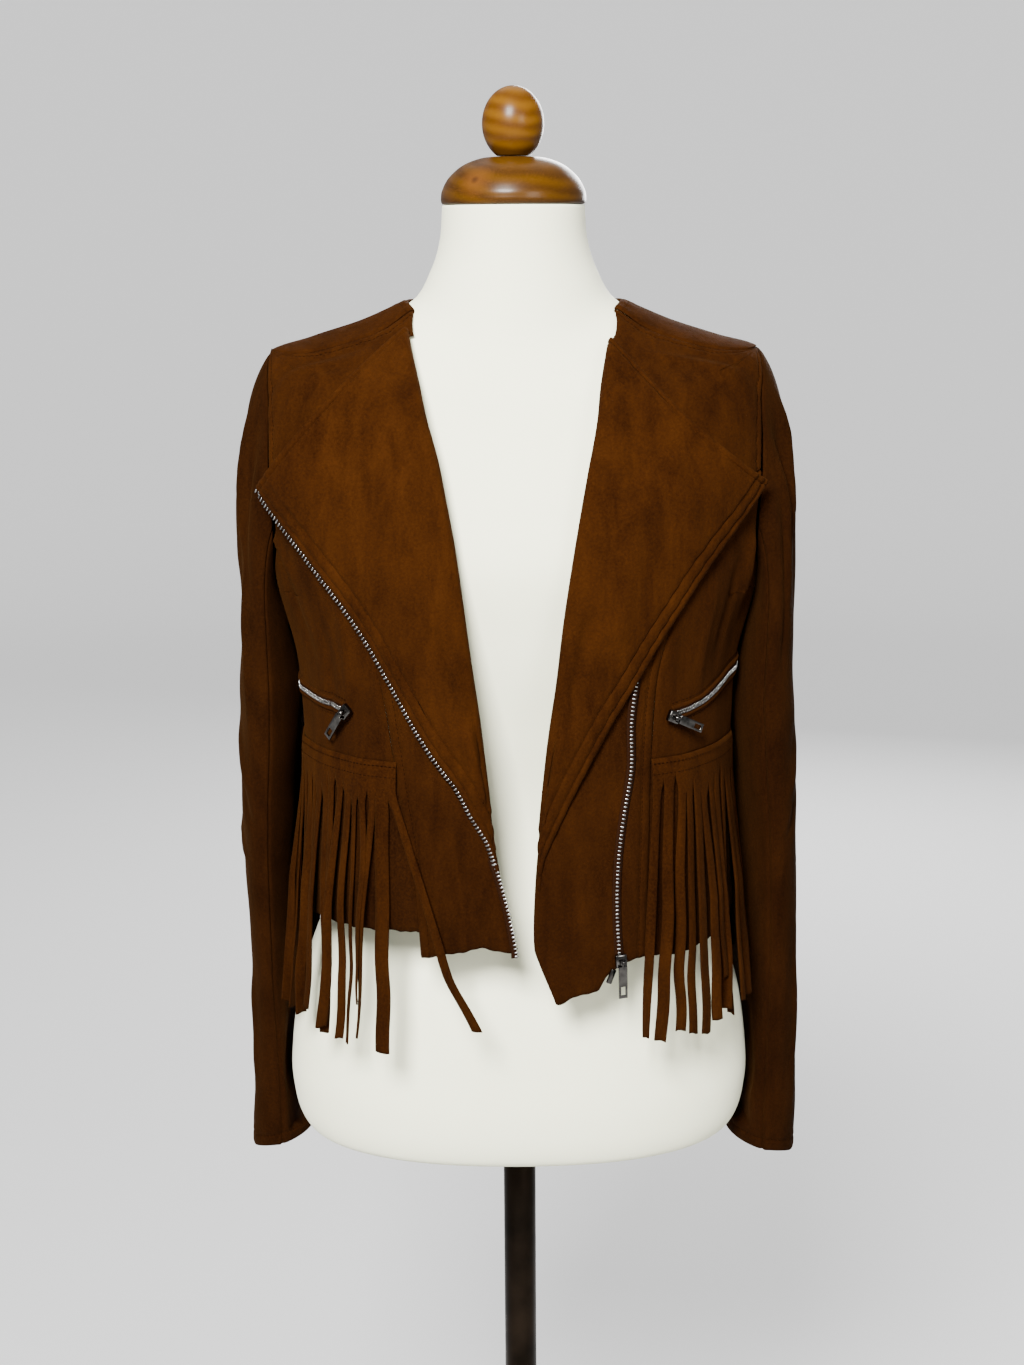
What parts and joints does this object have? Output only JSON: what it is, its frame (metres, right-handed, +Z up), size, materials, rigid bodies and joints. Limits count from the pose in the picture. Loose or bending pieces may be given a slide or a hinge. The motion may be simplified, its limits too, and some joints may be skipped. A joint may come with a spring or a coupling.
{
  "type": "suede jacket on a dress form",
  "caption": "Cropped suede jacket with turned-back lapels, zips and a long fringe, worn open by a limbless dress form on a round stand.",
  "frame": {"origin": "centre of the base's underside, on the floor, on the pole's axis", "axes": "+Z up along the pole, -Y the jacket's front, +X the wearer's left"},
  "size_m": [0.441, 0.3019, 1.4208],
  "materials": {
    "suede": "chestnut suede with a soft nap",
    "jersey": "off-white jersey stretched over padding",
    "varnished_wood": "light brown wood under clear varnish",
    "bronze_finish": "near-black bronze lacquer",
    "zip_metal": "dark nickel plating, worn bright on the teeth"
  },
  "bodies": {
    "jacket_on_form": {"front_right": "suede", "front_left": "suede", "front_side_upper_right": "suede", "front_side_upper_left": "suede", "front_side_lower_right": "suede", "front_side_lower_left": "suede", "lapel_right": "suede", "lapel_left": "suede", "back_yoke": "suede", "back_upper": "suede", "back_lower": "suede", "sleeve_top_right": "suede", "sleeve_under_right": "suede", "sleeve_top_left": "suede", "sleeve_under_left": "suede", "fringe_right": "suede", "fringe_left": "suede", "fringe_back": "suede", "zip_lapel_right": "zip_metal", "zip_edge_right": "zip_metal", "zip_front_left": "zip_metal", "zip_box": "zip_metal", "zip_pocket_right": "zip_metal", "zip_pocket_left": "zip_metal", "slider_main": "zip_metal", "slider_pocket_right": "zip_metal", "slider_pocket_left": "zip_metal", "torso": "jersey", "neck_cap": "varnished_wood", "finial": "varnished_wood", "pole": "bronze_finish", "base": "bronze_finish"},
    "main_pull": {"pull_main": "zip_metal"},
    "right_pocket_pull": {"pull_pocket_right": "zip_metal"},
    "left_pocket_pull": {"pull_pocket_left": "zip_metal"}
  },
  "joints": [
    {"name": "main_pull_swing", "type": "hinge", "parent": "jacket_on_form", "child": "main_pull", "pos_m": [0.07442, -0.14997, 0.80853], "axis": [-0.9637, -0.2625, -0.0482], "range_deg": [0, 120]},
    {"name": "right_pocket_pull_swing", "type": "hinge", "parent": "jacket_on_form", "child": "right_pocket_pull", "pos_m": [-0.12561, -0.11437, 0.98503], "axis": [-0.5885, 0.4755, 0.6539], "range_deg": [0, 120]},
    {"name": "left_pocket_pull_swing", "type": "hinge", "parent": "jacket_on_form", "child": "left_pocket_pull", "pos_m": [0.1133, -0.12449, 0.98213], "axis": [-0.361, -0.2349, -0.9025], "range_deg": [0, 120]}
  ]
}
